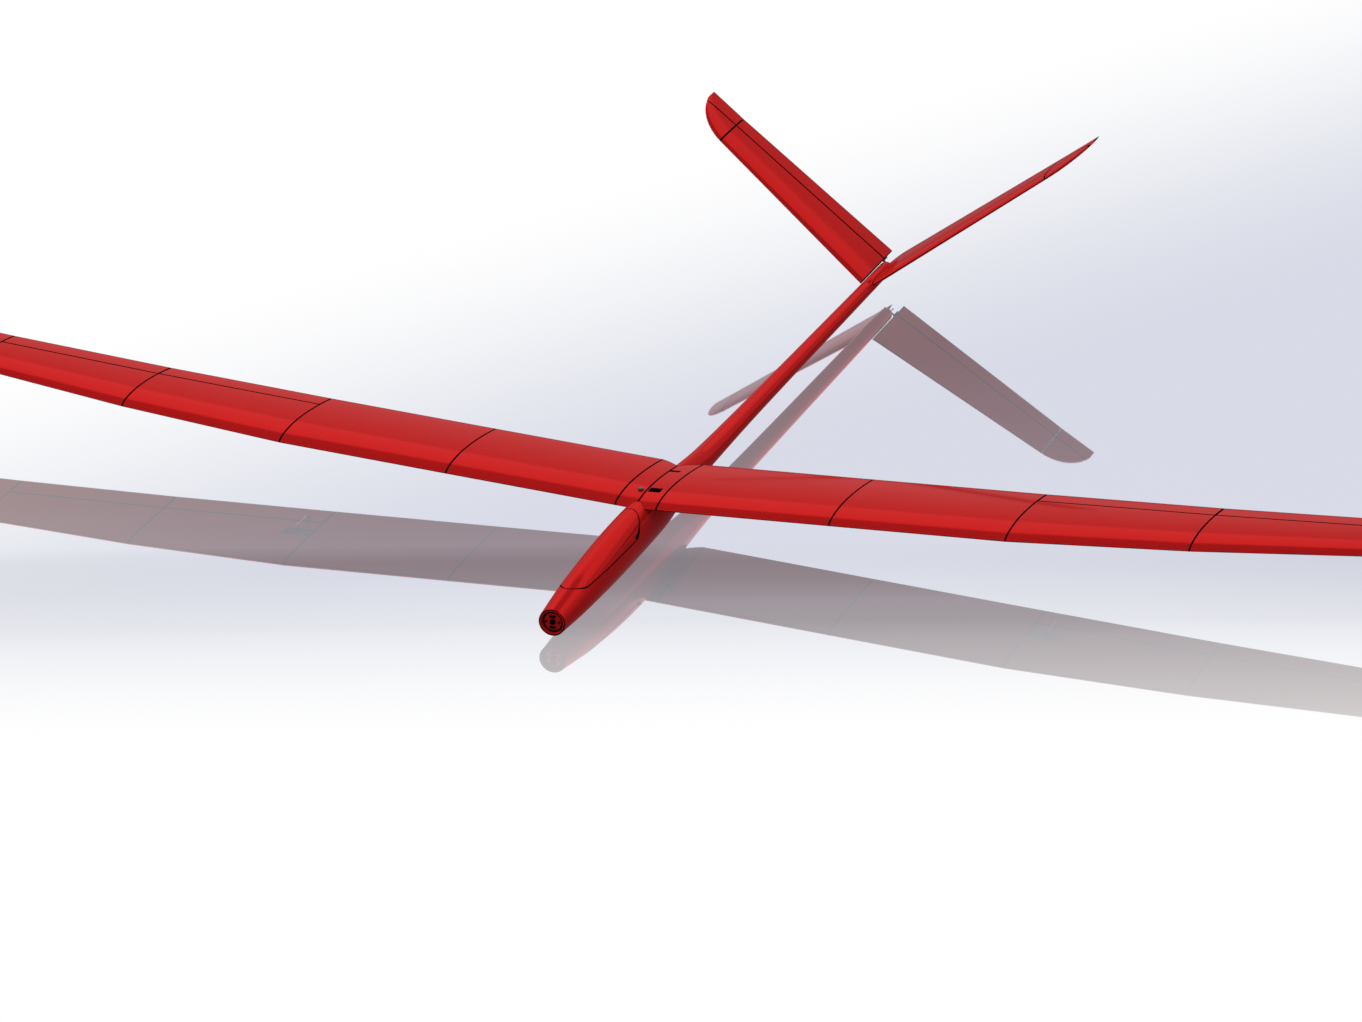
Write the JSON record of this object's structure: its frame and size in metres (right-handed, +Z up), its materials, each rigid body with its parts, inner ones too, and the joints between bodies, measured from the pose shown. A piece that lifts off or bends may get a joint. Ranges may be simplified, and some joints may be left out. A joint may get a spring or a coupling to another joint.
{
  "type": "rc sailplane",
  "caption": "Radio-controlled V-tail sailplane: slim pod and boom fuselage, long sectional wing with hinged ailerons, ruddervators, lift-off hatch and open motor mount.",
  "frame": {"origin": "on the floor, below the middle of the length and on the centre line of the aircraft", "axes": "+X to the aircraft's left along the span, +Y from the nose to the tail, +Z up"},
  "size_m": [2.786, 1.4503, 0.2543],
  "materials": {
    "red_shell": "smooth satin-gloss red",
    "carbon_tube": "pultruded carbon, satin",
    "steel_wire": "drawn steel wire",
    "black_plastic": "moulded black",
    "plywood": "bare birch ply",
    "battery_wrap": "blue heat-shrink",
    "magnet": "nickel plated"
  },
  "bodies": {
    "airframe": {"battery_pack": "battery_wrap", "fin_left": "red_shell", "fin_right": "red_shell", "fin_tip_left": "red_shell", "fin_tip_right": "red_shell", "fuselage_shell": "red_shell", "hatch_frame": "plywood", "motor_firewall": "red_shell", "nose_ring": "red_shell", "outer_spar_left": "carbon_tube", "outer_spar_right": "carbon_tube", "radio_tray": "plywood", "receiver": "black_plastic", "tail_mount": "red_shell", "tail_servo_left": "black_plastic", "tail_servo_right": "black_plastic", "wing_bolt_front": "black_plastic", "wing_bolt_rear": "black_plastic", "wing_joiner": "steel_wire", "wing_panel_1_left": "red_shell", "wing_panel_1_right": "red_shell", "wing_panel_2_left": "red_shell", "wing_panel_2_right": "red_shell", "wing_panel_3_left": "red_shell", "wing_panel_3_right": "red_shell", "wing_panel_4_left": "red_shell", "wing_panel_4_right": "red_shell", "wing_panel_5_left": "red_shell", "wing_panel_5_right": "red_shell", "wing_root_left": "red_shell", "wing_root_right": "red_shell", "wing_saddle": "plywood", "wing_servo_left": "black_plastic", "wing_servo_right": "black_plastic", "wing_spar_left": "carbon_tube", "wing_spar_right": "carbon_tube", "wing_tip_left": "red_shell", "wing_tip_right": "red_shell"},
    "aileron_inner_left": {"aileron_inner_left": "red_shell", "aileron_horn_left": "black_plastic"},
    "aileron_outer_left": {"aileron_outer_left": "red_shell"},
    "wing_servo_arm_left": {"wing_servo_arm_left": "black_plastic"},
    "aileron_pushrod_left": {"aileron_pushrod_left": "steel_wire"},
    "ruddervator_left": {"ruddervator_left": "red_shell", "ruddervator_tip_left": "red_shell", "ruddervator_horn_left": "black_plastic"},
    "tail_pushrod_left": {"tail_pushrod_left": "steel_wire"},
    "tail_servo_arm_left": {"tail_servo_arm_left": "black_plastic"},
    "aileron_inner_right": {"aileron_inner_right": "red_shell", "aileron_horn_right": "black_plastic"},
    "aileron_outer_right": {"aileron_outer_right": "red_shell"},
    "wing_servo_arm_right": {"wing_servo_arm_right": "black_plastic"},
    "aileron_pushrod_right": {"aileron_pushrod_right": "steel_wire"},
    "ruddervator_right": {"ruddervator_right": "red_shell", "ruddervator_tip_right": "red_shell", "ruddervator_horn_right": "black_plastic"},
    "tail_pushrod_right": {"tail_pushrod_right": "steel_wire"},
    "tail_servo_arm_right": {"tail_servo_arm_right": "black_plastic"},
    "canopy_hatch": {"canopy_hatch": "red_shell", "hatch_magnet": "magnet"}
  },
  "joints": [
    {"name": "aileron_inner_left_hinge", "type": "hinge", "parent": "airframe", "child": "aileron_inner_left", "pos_m": [0.5302, -0.26905, 0.08999], "axis": [0.9986, 0.012, 0.0511], "range_deg": [-20, 20]},
    {"name": "aileron_outer_left_hinge", "type": "hinge", "parent": "airframe", "child": "aileron_outer_left", "pos_m": [0.7804, -0.26604, 0.10279], "axis": [0.998, 0.0359, 0.0521], "range_deg": [-20, 20]},
    {"name": "wing_servo_arm_left_shaft", "type": "hinge", "parent": "airframe", "child": "wing_servo_arm_left", "pos_m": [0.55585, -0.30195, 0.09182], "axis": [1, 0, 0], "range_deg": [-20, 20]},
    {"name": "aileron_pushrod_left_slide", "type": "slide", "parent": "airframe", "child": "aileron_pushrod_left", "axis": [0, 1, 0], "range_m": [-0.00384, 0.00384]},
    {"name": "ruddervator_left_hinge", "type": "hinge", "parent": "airframe", "child": "ruddervator_left", "pos_m": [0.00936, 0.65475, 0.04287], "axis": [0.8109, 0.0892, 0.5784], "range_deg": [-20, 20]},
    {"name": "tail_pushrod_left_slide", "type": "slide", "parent": "airframe", "child": "tail_pushrod_left", "axis": [0, 1, 0], "range_m": [-0.00227, 0.00227]},
    {"name": "tail_servo_arm_left_shaft", "type": "hinge", "parent": "airframe", "child": "tail_servo_arm_left", "pos_m": [0.00417, -0.52025, 0.02229], "axis": [1, 0, 0], "range_deg": [-12.56, 12.56]},
    {"name": "aileron_inner_right_hinge", "type": "hinge", "parent": "airframe", "child": "aileron_inner_right", "pos_m": [-0.5302, -0.26905, 0.08999], "axis": [0.9986, -0.012, -0.0511], "range_deg": [-20, 20]},
    {"name": "aileron_outer_right_hinge", "type": "hinge", "parent": "airframe", "child": "aileron_outer_right", "pos_m": [-0.7804, -0.26604, 0.10279], "axis": [0.998, -0.0359, -0.0521], "range_deg": [-20, 20]},
    {"name": "wing_servo_arm_right_shaft", "type": "hinge", "parent": "airframe", "child": "wing_servo_arm_right", "pos_m": [-0.55585, -0.30195, 0.09182], "axis": [1, 0, 0], "range_deg": [-20, 20]},
    {"name": "aileron_pushrod_right_slide", "type": "slide", "parent": "airframe", "child": "aileron_pushrod_right", "axis": [0, 1, 0], "range_m": [-0.00384, 0.00384]},
    {"name": "ruddervator_right_hinge", "type": "hinge", "parent": "airframe", "child": "ruddervator_right", "pos_m": [-0.00936, 0.65475, 0.04287], "axis": [0.8109, -0.0892, -0.5784], "range_deg": [-20, 20]},
    {"name": "tail_pushrod_right_slide", "type": "slide", "parent": "airframe", "child": "tail_pushrod_right", "axis": [0, 1, 0], "range_m": [-0.00227, 0.00227]},
    {"name": "tail_servo_arm_right_shaft", "type": "hinge", "parent": "airframe", "child": "tail_servo_arm_right", "pos_m": [-0.00417, -0.48425, 0.02229], "axis": [1, 0, 0], "range_deg": [-12.56, 12.56]},
    {"name": "hatch_lift", "type": "slide", "parent": "airframe", "child": "canopy_hatch", "axis": [0, 0, 1], "range_m": [0, 0.08]}
  ],
  "couplings": [
    {"joint": "aileron_outer_left_hinge", "follows": "aileron_inner_left_hinge", "ratio": 1},
    {"joint": "wing_servo_arm_left_shaft", "follows": "aileron_inner_left_hinge", "ratio": 1},
    {"joint": "aileron_pushrod_left_slide", "follows": "aileron_inner_left_hinge", "m_per_rad": 0.011},
    {"joint": "tail_pushrod_left_slide", "follows": "ruddervator_left_hinge", "m_per_rad": 0.0065},
    {"joint": "tail_servo_arm_left_shaft", "follows": "ruddervator_left_hinge", "ratio": -0.628},
    {"joint": "aileron_outer_right_hinge", "follows": "aileron_inner_right_hinge", "ratio": 1},
    {"joint": "wing_servo_arm_right_shaft", "follows": "aileron_inner_right_hinge", "ratio": 1},
    {"joint": "aileron_pushrod_right_slide", "follows": "aileron_inner_right_hinge", "m_per_rad": 0.011},
    {"joint": "tail_pushrod_right_slide", "follows": "ruddervator_right_hinge", "m_per_rad": 0.0065},
    {"joint": "tail_servo_arm_right_shaft", "follows": "ruddervator_right_hinge", "ratio": -0.628}
  ]
}
